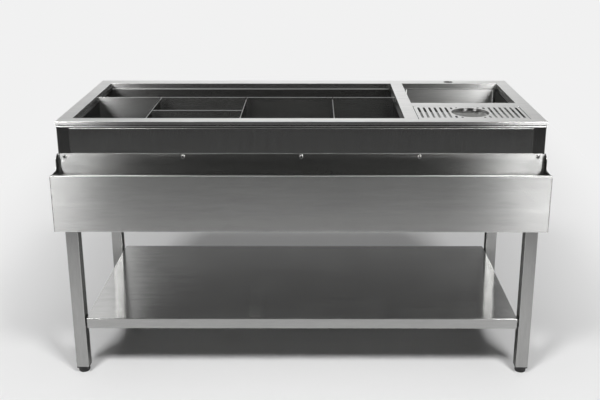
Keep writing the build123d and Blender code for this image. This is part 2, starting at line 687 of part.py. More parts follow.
nodes = {
    **make_worktop(),
    "tap_plate": make_tap_plate(),
    "top_frame": make_top_frame(),
    "front_apron": make_front_apron(),
    "rear_apron": make_rear_apron(),
    "left_apron": make_side_apron(-1),
    "right_apron": make_side_apron(1),
    **make_ice_bath(bath_open, BATH_DEPTH, bath_waste),
    "basin": make_tub(basin_open, BASIN_DEPTH, basin_waste),
    "drip_tray": make_tub(grate_open, TRAY_DEPTH, tray_waste),
    "long_divider": make_long_divider(),
    "left_cross_divider": make_cross_divider(cross_places[0]),
    "middle_cross_divider": make_cross_divider(cross_places[1]),
    "right_cross_divider": make_cross_divider(cross_places[2]),
    "short_divider": make_short_divider(cross_places[0], cross_places[1]),
    "drip_grate": make_drip_grate(),
    "rail_trough": make_rail_trough(),
    "rail_left_end": make_rail_end(-1),
    "rail_right_end": make_rail_end(1),
    "rail_screws": group(make_rail_screw(x) for x in screw_places()),
    "rail_nuts": group(make_rail_nut(x) for x in screw_places()),
    "shelf": make_shelf(),
    "shelf_stiffeners": group(make_shelf_stiffener(y) for y in stiffener_places),
    "shelf_bolts": group(make_shelf_bolt(*c) for c in leg_corners()),
    "shelf_nuts": group(make_shelf_nut(*c) for c in leg_corners()),
    "shelf_spacers": group(make_shelf_spacer(*c) for c in leg_corners()),
    "leg_inserts": group(make_leg_insert(side * leg_axis, y) for side, y in leg_corners()),
}
for name, (x, y), depth in (
    ("bath", bath_waste, BATH_DEPTH),
    ("basin", basin_waste, BASIN_DEPTH),
    ("tray", tray_waste, TRAY_DEPTH),
):
    for piece, shape in make_waste(x, y, TOP_H - depth).items():
        nodes[f"{name}_{piece}"] = shape
for name, (side, y) in leg_places.items():
    x = side * leg_axis
    nodes[f"{name}_leg"] = make_leg(side, y)
    nodes[f"{name}_pad"] = make_pad(x, y)
    nodes[f"{name}_stem"] = make_stem(x, y)

os.makedirs("parts", exist_ok=True)
for name, shape in nodes.items():
    export_step(shape, f"parts/{name}.step")
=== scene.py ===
import json
import math

import bmesh
import bpy
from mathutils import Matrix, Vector

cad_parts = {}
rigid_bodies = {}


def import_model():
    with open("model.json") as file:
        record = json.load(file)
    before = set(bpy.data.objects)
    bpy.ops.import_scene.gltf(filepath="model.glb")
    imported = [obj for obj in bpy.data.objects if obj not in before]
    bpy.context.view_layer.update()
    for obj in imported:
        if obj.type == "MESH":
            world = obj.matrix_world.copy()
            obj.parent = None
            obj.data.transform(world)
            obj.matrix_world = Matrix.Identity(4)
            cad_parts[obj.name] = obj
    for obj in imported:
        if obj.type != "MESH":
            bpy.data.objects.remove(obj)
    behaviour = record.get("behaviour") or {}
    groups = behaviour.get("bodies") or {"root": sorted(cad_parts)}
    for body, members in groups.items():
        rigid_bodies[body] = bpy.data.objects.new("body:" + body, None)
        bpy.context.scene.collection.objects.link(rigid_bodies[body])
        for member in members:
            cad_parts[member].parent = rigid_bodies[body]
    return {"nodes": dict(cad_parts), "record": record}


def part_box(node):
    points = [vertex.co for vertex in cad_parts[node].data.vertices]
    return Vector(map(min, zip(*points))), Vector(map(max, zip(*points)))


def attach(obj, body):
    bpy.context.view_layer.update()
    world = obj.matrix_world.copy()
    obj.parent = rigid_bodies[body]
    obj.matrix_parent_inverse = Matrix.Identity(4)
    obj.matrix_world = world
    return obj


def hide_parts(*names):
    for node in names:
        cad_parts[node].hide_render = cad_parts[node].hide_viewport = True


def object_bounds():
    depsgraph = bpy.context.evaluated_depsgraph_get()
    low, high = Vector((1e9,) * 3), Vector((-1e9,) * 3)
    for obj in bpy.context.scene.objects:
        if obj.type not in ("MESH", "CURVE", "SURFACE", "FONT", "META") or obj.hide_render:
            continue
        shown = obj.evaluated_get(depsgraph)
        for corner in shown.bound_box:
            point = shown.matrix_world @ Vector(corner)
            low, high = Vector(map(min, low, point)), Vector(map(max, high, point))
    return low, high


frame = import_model()
cad_low, cad_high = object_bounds()
scene = bpy.context.scene
scene.view_settings.view_transform = "Standard"

X_AXIS, Y_AXIS, Z_AXIS = 0, 1, 2
MM = 0.001
FULL_TURN = 2 * math.pi

# Camera, in metres and degrees
CAMERA_PLACE = (0.042, -2.70, 1.51)
CAMERA_TILT = 15.92
CAMERA_YAW = -0.124
CAMERA_LENS = 49.95
CAMERA_SENSOR = 36.0
CAMERA_SHIFT = (-0.022, -0.103)

# Floor, in metres: pale round the object, darker far out in front as painted shade,
# and as white as the backdrop at the sides and far behind
FLOOR_HALF = 60.0
FLOOR_PALE = 0.82
FLOOR_PAINTED_SHADE = 0.035
FADE_START, FADE_END = -0.35, -2.3
FAR_START, FAR_END = 1.2, 4.5
BESIDE_START, BESIDE_END = 0.6, 1.7
FAR_WHITE = 0.88
FLOOR_ROUGHNESS = 0.6
FLOOR_GLOSS = 0.1

# Surroundings: brightness by direction, in degrees; dark in front, pale walls above low pale panels
# at the sides and behind, a dark gap in the wall straight behind, and a pale ceiling
ROOM_DARK = 0.02
ROOM_WALL = 1.0
ROOM_PANEL = 0.92
ROOM_CEILING = 0.9
SIDE_START, SIDE_FULL = 70.0, 95.0
GAP_TURN = 1.0
GAP_HALF, GAP_SOFT = 13.5, 16.5
PANEL_TOP, PANEL_END = 16.0, 19.0
CEILING_START, CEILING_FULL = 58.0, 68.0

# Soft lamps, in metres and watts: one overhead and a high pair in front light what is matt,
# and a low pair in front is mirrored by the steel
LAMP_AIM = (0.0, 0.0, 0.2)
LAMP_SIZE = 1.1
OVERHEAD_PLACE = (0.0, 0.6, 6.0)
OVERHEAD_SIZE = 7.0
OVERHEAD_WATTS = 110.0
HIGH_LAMPS = {"high_left_lamp": (-1.87, -3.0, 4.8), "high_right_lamp": (1.87, -3.0, 4.8)}
HIGH_WATTS = 172.0
LOW_LAMPS = {"low_left_lamp": (-2.2, -3.6, 1.9), "low_right_lamp": (1.95, -3.6, 1.9)}
LOW_WATTS = 73.0
MATT_LOOKS = ("floor_paint", "black_plastic", "pale_plastic", "gasket_rubber", "tray_grain_x")

# Noise: the stretch of its values that is used, and its detail in each use
NOISE_LOW, NOISE_HIGH = 0.3, 0.7
FINE_DETAIL = 3.0
BROAD_DETAIL = 2.0
SPECKLE_DETAIL = 4.0

# Direction of a face: its largest part on flat and on rounded faces, its upward part on upright
# and on level faces, and the part along Y of a face that looks to the front
FLAT_FACE, ROUND_FACE = 0.99, 0.85
UPRIGHT_FACE, LEVEL_FACE = 0.25, 0.45
FRONT_FACE = -0.9

# A vector mix has these places for its two inputs and its output
VECTOR_FIRST, VECTOR_SECOND, VECTOR_RESULT = 4, 5, 1


def new_material(name):
    """An empty node material, and its node tree with an output."""
    material = bpy.data.materials.new(name)
    material.use_nodes = True
    tree = material.node_tree
    tree.nodes.clear()
    output = tree.nodes.new("ShaderNodeOutputMaterial")
    return material, tree, output


def node(tree, kind, **settings):
    """A new shader node with its settings."""
    made = tree.nodes.new(kind)
    for key, value in settings.items():
        setattr(made, key, value)
    return made


def feed(tree, socket, value):
    """Link a socket, or set a number, on an input."""
    if isinstance(value, bpy.types.NodeSocket):
        tree.links.new(value, socket)
    else:
        socket.default_value = value


def math_node(tree, operation, first, second=None):
    """The output of a Math node; an input is a socket or a number."""
    made = node(tree, "ShaderNodeMath", operation=operation)
    feed(tree, made.inputs[0], first)
    if second is not None:
        feed(tree, made.inputs[1], second)
    return made.outputs[0]


def plus(tree, first, second):
    """The sum of two sockets or numbers."""
    return math_node(tree, "ADD", first, second)


def times(tree, first, second):
    """The product of two sockets or numbers."""
    return math_node(tree, "MULTIPLY", first, second)


def map_range(tree, value, from_low, from_high, to_low, to_high, smooth=False):
    """A value carried from one range to another, clamped, with soft ends if smooth."""
    made = node(tree, "ShaderNodeMapRange", clamp=True)
    if smooth:
        made.interpolation_type = "SMOOTHSTEP"
    tree.links.new(value, made.inputs["Value"])
    limits = {"From Min": from_low, "From Max": from_high, "To Min": to_low, "To Max": to_high}
    for key, number in limits.items():
        feed(tree, made.inputs[key], number)
    return made.outputs["Result"]


def spread(tree, noise, low, high):
    """A noise carried to the range from low to high."""
    return map_range(tree, noise, NOISE_LOW, NOISE_HIGH, low, high)


def gain_where(tree, share, gain):
    """A factor that goes from 1 to a gain as a share goes from 0 to 1."""
    return map_range(tree, share, 0, 1, 1, gain)


def stretched_noise(tree, scales, detail):
    """Noise in the object's own coordinates, with its own number of waves a metre along each axis."""
    coordinates = node(tree, "ShaderNodeTexCoord")
    mapping = node(tree, "ShaderNodeMapping")
    mapping.inputs["Scale"].default_value = scales
    noise = node(tree, "ShaderNodeTexNoise")
    noise.inputs["Scale"].default_value = 1.0
    noise.inputs["Detail"].default_value = detail
    tree.links.new(coordinates.outputs["Object"], mapping.inputs["Vector"])
    tree.links.new(mapping.outputs["Vector"], noise.inputs["Vector"])
    return noise.outputs["Fac"]


def constant_vector(tree, vector):
    """A fixed direction, as a node's output."""
    made = node(tree, "ShaderNodeCombineXYZ")
    for socket, value in zip(made.inputs, vector):
        socket.default_value = value
    return made.outputs[0]


def three_parts(tree, vector):
    """The three parts of a vector, as a node's outputs."""
    axes = node(tree, "ShaderNodeSeparateXYZ")
    tree.links.new(vector, axes.inputs[0])
    return axes.outputs


def normal_axes(tree):
    """The three parts of the surface's direction."""
    return three_parts(tree, node(tree, "ShaderNodeNewGeometry").outputs["Normal"])


def place_axes(tree):
    """The three coordinates of a point of the surface."""
    return three_parts(tree, node(tree, "ShaderNodeTexCoord").outputs["Object"])


def fold_mask(tree):
    """0 on faces square to an axis, near 1 on the rounded folds and corners between them."""
    x, y, z = (math_node(tree, "ABSOLUTE", axis) for axis in normal_axes(tree))
    largest = math_node(tree, "MAXIMUM", math_node(tree, "MAXIMUM", x, y), z)
    return map_range(tree, largest, FLAT_FACE, ROUND_FACE, 0, 1, smooth=True)


def faces_up(tree):
    """1 on faces that look up and on the folds beside them, 0 on upright faces."""
    return map_range(tree, normal_axes(tree)["Z"], UPRIGHT_FACE, LEVEL_FACE, 0, 1)


def faces_front(tree):
    """1 on faces that look to the front, 0 elsewhere."""
    return math_node(tree, "LESS_THAN", normal_axes(tree)["Y"], FRONT_FACE)


# Brushed steel: the direction across the grain on every face, the grain's waves a metre,
# and how far its colour and roughness vary
ACROSS_X_GRAIN = (0.0, 0.02, 1.0)
ACROSS_Y_GRAIN = (0.02, 0.0, 1.0)
ACROSS_Z_GRAIN = (1.0, 1.0, 0.0)
ACROSS_SATIN = (1.0, 0.0, 0.02)
GRAIN_FINE = 330.0
GRAIN_LONG = 22.0
GRAIN_BROAD = 6.0
FINE_SHARE, BROAD_SHARE = 0.6, 0.4
CLOUD = 7.0
STEEL_VARY = 0.09
STEEL_BLUE = 0.985
ROUGH_VARY = 0.008
GRAIN_STRETCH = 1.0
GRAIN_BUMP = 0.015
BUMP_DEPTH = 0.2 * MM
# Painted shade in thin lines under the worktop's lip and at the band's bottom edge: how far from a line's
# height the base is darkest and back to full, and its darkest gain
SHADE_LINE_IN, SHADE_LINE_OUT = 2.6 * MM, 3.6 * MM
SHADE_LINE_DARK = 0.02
# Folds: added to the base, partly as rubbed wear and partly as a painted highlight
RUBBED_AND_LIT_FOLD = 0.08

# Moulded and machined pieces: how far the speckle varies, and how much paler the edges are, partly as rubbed
# wear and partly as a painted highlight
SPECKLE_VARY = 0.15
SPECKLE_ROUGH = 0.06
SPECKLE_BUMP = 0.15
RUBBED_AND_LIT_EDGE = 0.1
# Painted shade in a screw's cross recess: the gain of its base
RECESS_SHADE = 0.05


def add_bump(tree, shader, height, strength):
    """Give a shader a fine relief."""
    bump = node(tree, "ShaderNodeBump")
    bump.inputs["Strength"].default_value = strength
    bump.inputs["Distance"].default_value = BUMP_DEPTH
    tree.links.new(height, bump.inputs["Height"])
    tree.links.new(bump.outputs[0], shader.inputs["Normal"])


def shaded_top_edge(tree, share, height, gain):
    """Painted shade: a gain of the base that darkens faces that look up above a height, such as a sheet's top
    edge or a bath's seat.
    """
    above = math_node(tree, "GREATER_THAN", place_axes(tree)["Z"], height)
    return gain_where(tree, times(tree, share, above), gain)


def painted_shade_line(tree, height):
    """Painted shade: a gain of the base that drops in a thin dark line at a height, where a lip or fold meets
    the band.
    """
    away = math_node(tree, "ABSOLUTE", math_node(tree, "SUBTRACT", place_axes(tree)["Z"], height))
    return map_range(tree, away, SHADE_LINE_IN, SHADE_LINE_OUT, SHADE_LINE_DARK, 1)


def painted_recess_shade(tree, depth):
    """Painted shade: a gain of the base that drops on faces that look to the front from behind a depth, as in
    a screw's cross recess.
    """
    behind = math_node(tree, "GREATER_THAN", place_axes(tree)["Y"], depth)
    return gain_where(tree, times(tree, behind, faces_front(tree)), RECESS_SHADE)


def grain_noise(tree, along_axis):
    """The fine grain along an axis, and its mix with a broader one."""
    scales = [GRAIN_FINE] * 3
    scales[along_axis] = GRAIN_LONG
    fine = stretched_noise(tree, scales, FINE_DETAIL)
    broad = stretched_noise(tree, [scale / GRAIN_BROAD for scale in scales], BROAD_DETAIL)
    return fine, plus(tree, times(tree, fine, FINE_SHARE), times(tree, broad, BROAD_SHARE))


def turned_grain(tree, share, across, up_across):
    """The direction across the grain, which turns to another one by a share."""
    turned = node(tree, "ShaderNodeMix", data_type="VECTOR")
    tree.links.new(share, turned.inputs["Factor"])
    tree.links.new(across, turned.inputs[VECTOR_FIRST])
    turned.inputs[VECTOR_SECOND].default_value = up_across
    return turned.outputs[VECTOR_RESULT]


def steel_colour(tree, tint):
    """A grey with a little less blue."""
    colour = node(tree, "ShaderNodeCombineColor")
    tree.links.new(tint, colour.inputs["Red"])
    tree.links.new(tint, colour.inputs["Green"])
    tree.links.new(times(tree, tint, STEEL_BLUE), colour.inputs["Blue"])
    return colour.outputs[0]


def brushed_steel(name, base, roughness, across, along_axis, up=None, dull=None, shade_lines=(), metal=1.0,
                  edge=1.0, fold=RUBBED_AND_LIT_FOLD, front=None):
    """Stainless sheet with a straight brushed grain along one axis; fold is added to the base on folds, a
    painted highlight that is partly also rubbed wear where it is above 0, and painted shade where it is below
    0.

    Where up is given, as (roughness, direction across the grain, gain of the base), the faces that look up
    have that roughness and grain, and their base takes the gain as painted light; where dull is given too,
    as (height, gain), those above the height are darker, as painted shade. The sheet has painted shade in
    thin dark lines at the heights given. A metal below 1 is a matt sheet, an edge below 1 is dull at a
    grazing view, and front is the gain of faces that look to the front, a painted shade on the end plates'
    edges.
    """
    material, tree, output = new_material(name)
    shader = node(tree, "ShaderNodeBsdfPrincipled")
    shader.inputs["Metallic"].default_value = metal
    shader.inputs["Anisotropic"].default_value = GRAIN_STRETCH
    shader.inputs["Specular Tint"].default_value = (edge, edge, edge, 1)
    fine, streak = grain_noise(tree, along_axis)
    cloud = stretched_noise(tree, (CLOUD, CLOUD, CLOUD), BROAD_DETAIL)
    tint = spread(tree, streak, base * (1 - STEEL_VARY), base * (1 + STEEL_VARY))
    # Folds: brighter as rubbed wear and painted highlight, or darker as painted shade where fold is below 0
    tint = plus(tree, tint, times(tree, fold_mask(tree), fold))
    # Painted shade on faces that look to the front, by the gain in front
    if front is not None:
        tint = times(tree, tint, gain_where(tree, faces_front(tree), front))
    # Painted shade: thin dark lines on the sheet at the heights given
    for height in shade_lines:
        tint = times(tree, tint, painted_shade_line(tree, height))
    rough = spread(tree, streak, roughness - ROUGH_VARY, roughness + ROUGH_VARY)
    rough = plus(tree, rough, spread(tree, cloud, -ROUGH_VARY, ROUGH_VARY))
    tangent = constant_vector(tree, across)
    if up is not None:
        share = faces_up(tree)
        up_rough, up_across, up_lit_gain = up
        rough = plus(tree, rough, times(tree, share, up_rough - roughness))
        # Painted light: faces that look up take a gain of the base
        tint = times(tree, tint, gain_where(tree, share, up_lit_gain))
        # Painted shade: faces that look up above a height are darker
        if dull is not None:
            tint = times(tree, tint, shaded_top_edge(tree, share, *dull))
        tangent = turned_grain(tree, share, tangent, up_across)
    tree.links.new(steel_colour(tree, tint), shader.inputs["Base Color"])
    tree.links.new(rough, shader.inputs["Roughness"])
    add_bump(tree, shader, fine, GRAIN_BUMP)
    tree.links.new(tangent, shader.inputs["Tangent"])
    tree.links.new(shader.outputs[0], output.inputs["Surface"])
    return material


def plain_material(name, colour, roughness, metallic, grain, recess_depth=None):
    """Moulded or machined: a fine speckle in colour, roughness and bump, edges paler as rubbed wear and as a
    painted highlight, and painted shade on faces that look to the front from behind a depth, if one is given.
    """
    material, tree, output = new_material(name)
    shader = node(tree, "ShaderNodeBsdfPrincipled")
    shader.inputs["Metallic"].default_value = metallic
    speckle = stretched_noise(tree, (grain, grain, grain), SPECKLE_DETAIL)
    tint = spread(tree, speckle, 1 - SPECKLE_VARY, 1 + SPECKLE_VARY)
    # Edges paler: partly rubbed wear, partly a painted highlight
    tint = plus(tree, tint, times(tree, fold_mask(tree), RUBBED_AND_LIT_EDGE))
    # Painted shade on the floor of a screw's cross recess
    if recess_depth is not None:
        tint = times(tree, tint, painted_recess_shade(tree, recess_depth))
    shade = node(tree, "ShaderNodeVectorMath", operation="SCALE")
    shade.inputs[0].default_value = colour
    tree.links.new(tint, shade.inputs["Scale"])
    tree.links.new(shade.outputs[0], shader.inputs["Base Color"])
    rough = spread(tree, speckle, roughness - SPECKLE_ROUGH, roughness + SPECKLE_ROUGH)
    tree.links.new(rough, shader.inputs["Roughness"])
    add_bump(tree, shader, speckle, SPECKLE_BUMP)
    tree.links.new(shader.outputs[0], output.inputs["Surface"])
    return material


# Finishes of the steel: base, roughness, and how dull it is at a grazing view; the bases of the bath, tap
# plate, shelf, legs and grate are lowered as painted shade, and the band's is raised as painted light
STEEL_BASE, STEEL_ROUGH = 0.62, 0.235
TOP_BASE, TOP_ROUGH = 0.62, 0.22
BATH_SHADED_BASE, BATH_ROUGH = 0.42, 0.19
SHELF_SHADED_BASE, SHELF_ROUGH = 0.4, 0.17
TRAY_BASE, TRAY_ROUGH = 0.7, 0.55
GRATE_SHADED_BASE, GRATE_ROUGH = 0.25, 0.4
CROSS_ROUGH = 0.185
RAIL_ROUGH = 0.24
DIVIDER_ROUGH = 0.235
BASIN_ROUGH = 0.34
BAND_LIT_BASE = 0.92
LEG_SHADED_BASE = 0.37
TRAY_METAL = 0.4
# Painted shade on the basin's rounded folds
BASIN_FOLD_SHADE = -0.5
# Painted shade on the faces of the rail's end plates that look to the front
FRONT_EDGE_SHADE = 0.1
GRAZING_DARK = 0.05
BATH_GRAZING = 0.4
CROSS_GRAZING = 0.2

# Faces that look up: roughness, and the gain of the base, which is painted light that makes them lighter than
# upright faces
SATIN_ROUGH = 0.36
SATIN_LIT_GAIN = 1.15
TOP_LIT_GAIN = 1.45
CROSS_LIT_GAIN = 1.6
GRATE_LIT_GAIN = 3.6
FOLD_ROUGH = 0.4
SHELF_LIT_GAIN = 1.25

# Painted shade on top edges, in thin lines on the band and in the screws' cross: how far they are from a
# piece's top or front, and the gain of the shaded top edges
RAIL_EDGE_DEPTH, RAIL_EDGE_SHADE_GAIN = MM, 0.2
SEAT_DEPTH, SEAT_SHADE_GAIN = 5.0 * MM, 0.45
EDGE_LIP = 11.0 * MM
SCREW_HEAD = MM


def satin_with_painted_light(gain):
    """The finish of faces that look up: soft, with a gain of the base that is painted light."""
    return SATIN_ROUGH, ACROSS_SATIN, gain


SATIN_AND_LIT = satin_with_painted_light(SATIN_LIT_GAIN)
SOFT_FOLD = (FOLD_ROUGH, ACROSS_X_GRAIN, 1.0)
SHELF_TOP = (SHELF_ROUGH, ACROSS_X_GRAIN, SHELF_LIT_GAIN)
RAIL_EDGE_SHADE = (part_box("rail_trough")[1][Z_AXIS] - RAIL_EDGE_DEPTH, RAIL_EDGE_SHADE_GAIN)
BATH_SEAT_SHADE = (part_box("ice_bath")[1][Z_AXIS] - SEAT_DEPTH, SEAT_SHADE_GAIN)
BAND_SHADE_LINES = (cad_high[Z_AXIS] - EDGE_LIP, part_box("top_frame")[0][Z_AXIS])
SCREW_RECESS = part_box("rail_screws")[0][Y_AXIS] + SCREW_HEAD

grain_x = brushed_steel("steel_grain_x", STEEL_BASE, STEEL_ROUGH, ACROSS_X_GRAIN, X_AXIS)
grain_y = brushed_steel("steel_grain_y", STEEL_BASE, STEEL_ROUGH, ACROSS_Y_GRAIN, Y_AXIS)
end_y = brushed_steel("end_grain_y", STEEL_BASE, STEEL_ROUGH, ACROSS_Y_GRAIN, Y_AXIS, edge=GRAZING_DARK,
                      front=FRONT_EDGE_SHADE)
leg_z = brushed_steel("leg_grain_z", LEG_SHADED_BASE, STEEL_ROUGH, ACROSS_Z_GRAIN, Z_AXIS, edge=GRAZING_DARK)
apron_z = brushed_steel("apron_grain_z", STEEL_BASE, STEEL_ROUGH, ACROSS_Z_GRAIN, Z_AXIS, SOFT_FOLD)
shelf_x = brushed_steel("shelf_grain_x", SHELF_SHADED_BASE, SHELF_ROUGH, ACROSS_X_GRAIN, X_AXIS, SHELF_TOP)
rail_x = brushed_steel("rail_grain_x", STEEL_BASE, RAIL_ROUGH, ACROSS_X_GRAIN, X_AXIS, SATIN_AND_LIT, RAIL_EDGE_SHADE)
band_x = brushed_steel("band_grain_x", BAND_LIT_BASE, TOP_ROUGH, ACROSS_X_GRAIN, X_AXIS, shade_lines=BAND_SHADE_LINES)
top_x = brushed_steel("top_grain_x", TOP_BASE, TOP_ROUGH, ACROSS_X_GRAIN, X_AXIS, satin_with_painted_light(TOP_LIT_GAIN))
grate_x = brushed_steel("grate_grain_x", GRATE_SHADED_BASE, GRATE_ROUGH, ACROSS_X_GRAIN, X_AXIS, satin_with_painted_light(GRATE_LIT_GAIN))
basin_x = brushed_steel("basin_grain_x", STEEL_BASE, BASIN_ROUGH, ACROSS_X_GRAIN, X_AXIS, SATIN_AND_LIT,
                        edge=GRAZING_DARK, fold=BASIN_FOLD_SHADE)
tray_x = brushed_steel("tray_grain_x", TRAY_BASE, TRAY_ROUGH, ACROSS_X_GRAIN, X_AXIS, SATIN_AND_LIT, metal=TRAY_METAL)
divider_x = brushed_steel("divider_grain_x", STEEL_BASE, DIVIDER_ROUGH, ACROSS_X_GRAIN, X_AXIS, SATIN_AND_LIT)
divider_y = brushed_steel("divider_grain_y", STEEL_BASE, CROSS_ROUGH, ACROSS_Y_GRAIN, Y_AXIS,
                          satin_with_painted_light(CROSS_LIT_GAIN), edge=CROSS_GRAZING)
bath_x = brushed_steel("bath_grain_x", BATH_SHADED_BASE, BATH_ROUGH, ACROSS_X_GRAIN, X_AXIS, SATIN_AND_LIT)
bath_y = brushed_steel("bath_grain_y", BATH_SHADED_BASE, BATH_ROUGH, ACROSS_Y_GRAIN, Y_AXIS, SATIN_AND_LIT, BATH_SEAT_SHADE,
                       edge=BATH_GRAZING)
bright = plain_material("bright_steel", colour=(0.66, 0.66, 0.65), roughness=0.22, metallic=1.0, grain=900.0)
screw = plain_material("screw_steel", colour=(0.8, 0.8, 0.79), roughness=0.25, metallic=1.0, grain=900.0,
                       recess_depth=SCREW_RECESS)
black = plain_material("black_plastic", colour=(0.014, 0.014, 0.014), roughness=0.5, metallic=0.0,
                       grain=1500.0)
pale = plain_material("pale_plastic", colour=(0.72, 0.72, 0.70), roughness=0.4, metallic=0.0, grain=800.0)
gasket = plain_material("gasket_rubber", colour=(0.03, 0.03, 0.03), roughness=0.7, metallic=0.0, grain=1200.0)

# The material of each slot, and of the nodes that have one of their own
LOOKS = {
    "brushed_steel": grain_x,
    "bath_steel": bath_x,
    "divider_steel": divider_x,
    "grate_steel": grate_x,
    "fastener_steel": bright,
    "black_plastic": black,
    "waste_plastic": pale,
    "rubber": gasket,
}
FEET = ("front_left", "front_right", "rear_left", "rear_right")
STRIPS = ("front", "rear", "left", "right", "bridge", "cross_strip")
SIDES = ("left", "right")
OWN_LOOKS = {
    "shelf": shelf_x,
    "rail_trough": rail_x,
    "tap_plate": bath_x,
    "basin": basin_x,
    "drip_tray": tray_x,
    "rail_screws": screw,
    "top_frame": band_x,
    "front_apron": apron_z,
    "rear_apron": apron_z,
    "middle_cross_divider": divider_y,
}
for side in SIDES:
    OWN_LOOKS[f"{side}_apron"] = grain_y
    OWN_LOOKS[f"rail_{side}_end"] = end_y
    OWN_LOOKS[f"bath_{side}_end"] = bath_y
    OWN_LOOKS[f"{side}_cross_divider"] = divider_y
for foot in FEET:
    OWN_LOOKS[f"{foot}_leg"] = leg_z
for strip in STRIPS:
    OWN_LOOKS[f"worktop_{strip}"] = top_x


def dress_nodes():
    """Give every CAD node its material, its own one or its slot's."""
    for subpart in frame["record"]["subparts"]:
        name = subpart["node"]
        mesh = frame["nodes"][name].data
        mesh.materials.clear()
        mesh.materials.append(OWN_LOOKS.get(name, LOOKS[subpart["material_slot"]]))


# Foot screw, in metres: a thread above a hexagon, and a plain end in the pad;
# the thread's ridge has this peak before it is cut flat, and this fall over a pitch, in shares of its depth
THREAD_PITCH = 1.5 * MM
THREAD_DEPTH = 0.8 * MM
THREAD_PEAK = 1.6
THREAD_FALL = 4.0
THREAD_ROWS = 8
STEM_SIDES = 32
STEM_RADIUS = 4.95 * MM
STEM_NECK = 4.4 * MM
STEM_TIP = 1.0 * MM
STEM_SHARP = 50
HEX_SIDES = 6
HEX_FLATS = 14.9 * MM
HEX_LOW, HEX_HIGH = 11.7 * MM, 17.5 * MM
HEX_CHAMFER = 0.6 * MM

# Foot pad: a moulded disc with a fluted rim
PAD_SIDES = 120
PAD_FLUTES = 20
PAD_FLUTE_DEPTH = 0.9 * MM
PAD_FLUTE_POWER = 4
PAD_CUP = 10.6 * MM
PAD_CUP_FLOOR = 11.15 * MM
PAD_CUP_CHAMFER = 0.5 * MM
PAD_SOCKET = 5.45 * MM
PAD_SOCKET_FLOOR = 6.1 * MM
PAD_ROUND = 3.0 * MM
PAD_ROUND_STEPS = 4
PAD_GROOVE_INNER, PAD_GROOVE_OUTER = 9.0 * MM, 14.0 * MM
PAD_GROOVE_DEPTH = 0.8 * MM
PAD_SHARP = 40


def centre_of(name):
    """The middle of a node's box seen from above, and its lowest and highest place."""
    low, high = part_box(name)
    return (low[0] + high[0]) / 2, (low[1] + high[1]) / 2, low[2], high[2]


def tip(mesh, x, y, z):
    """A ring of one vertex, which closes an end."""
    return [mesh.verts.new((x, y, z))]


def ring(mesh, x, y, z, radius, sides):
    """One ring of vertices; radius is a number or a function of the turn."""
    found = []
    for i in range(sides):
        turn = FULL_TURN * i / sides
        r = radius(turn) if callable(radius) else radius
        found.append(mesh.verts.new((x + r * math.cos(turn), y + r * math.sin(turn), z)))
    return found


def lathe(mesh, rings, sides):
    """Faces between rings of one vertex count; a ring of one vertex closes an end."""
    for lower, upper in zip(rings, rings[1:]):
        for i in range(sides):
            j = (i + 1) % sides
            corners = [lower[i % len(lower)], lower[j % len(lower)]]
            corners += [upper[j % len(upper)], upper[i % len(upper)]]
            unique = list(dict.fromkeys(corners))
            if len(unique) > 2:
                mesh.faces.new(unique)


def finish_mesh(mesh, name, material, sharp_degrees):
    """Turn a bmesh into an object with smooth faces and sharp edges at its corners."""
    bmesh.ops.recalc_face_normals(mesh, faces=mesh.faces)
    for face in mesh.faces:
        face.smooth = True
    for edge in mesh.edges:
        edge.smooth = edge.calc_face_angle(0.0) < math.radians(sharp_degrees)
    data = bpy.data.meshes.new(name)
    mesh.to_mesh(data)
    mesh.free()
    data.materials.append(material)
    made = bpy.data.objects.new(name, data)
    scene.collection.objects.link(made)
    return made


def thread_radius(z, start, end):
    """Radius of a right-hand thread at a height, as a function of the turn; it runs out at both ends."""
    taper = min(1.0, (z - start) / STEM_TIP, (end - z) / STEM_TIP)

    def radius(turn):
        phase = (z / THREAD_PITCH - turn / FULL_TURN) % 1.0
        ridge = min(1.0, max(0.0, THREAD_PEAK - THREAD_FALL * abs(phase - 0.5)))
        return STEM_RADIUS - THREAD_DEPTH + THREAD_DEPTH * ridge * max(0.0, taper)

    return radius


def add_hexagon(mesh, x, y):
    """A closed hexagon flange with chamfered corners round the stem."""
    corner = HEX_FLATS / 2 / math.cos(math.pi / HEX_SIDES)
    levels = [(HEX_LOW, corner - HEX_CHAMFER), (HEX_LOW + HEX_CHAMFER, corner),
              (HEX_HIGH - HEX_CHAMFER, corner), (HEX_HIGH, corner - HEX_CHAMFER)]
    rings = [tip(mesh, x, y, HEX_LOW)]
    rings += [ring(mesh, x, y, z, r, HEX_SIDES) for z, r in levels]
    rings.append(tip(mesh, x, y, HEX_HIGH))
    lathe(mesh, rings, HEX_SIDES)


def make_stem(foot):
    """A foot screw with its thread, hexagon and plain end, which turns with its own body."""
    x, y, low, high = centre_of(f"{foot}_stem")
    mesh = bmesh.new()
    rings = [tip(mesh, x, y, low)]
    rings.append(ring(mesh, x, y, low, STEM_NECK - HEX_CHAMFER, STEM_SIDES))
    rings.append(ring(mesh, x, y, low + HEX_CHAMFER, STEM_NECK, STEM_SIDES))
    rings.append(ring(mesh, x, y, HEX_HIGH, STEM_NECK, STEM_SIDES))
    rows = int((high - HEX_HIGH) / THREAD_PITCH * THREAD_ROWS)
    for row in range(rows + 1):
        z = HEX_HIGH + (high - HEX_HIGH) * row / rows
        rings.append(ring(mesh, x, y, z, thread_radius(z, HEX_HIGH, high), STEM_SIDES))
    rings.append(tip(mesh, x, y, high))
    lathe(mesh, rings, STEM_SIDES)
    add_hexagon(mesh, x, y)
    stem = finish_mesh(mesh, f"{foot}_threaded_stem", bright, STEM_SHARP)
    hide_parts(f"{foot}_stem")
    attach(stem, f"{foot}_stem")


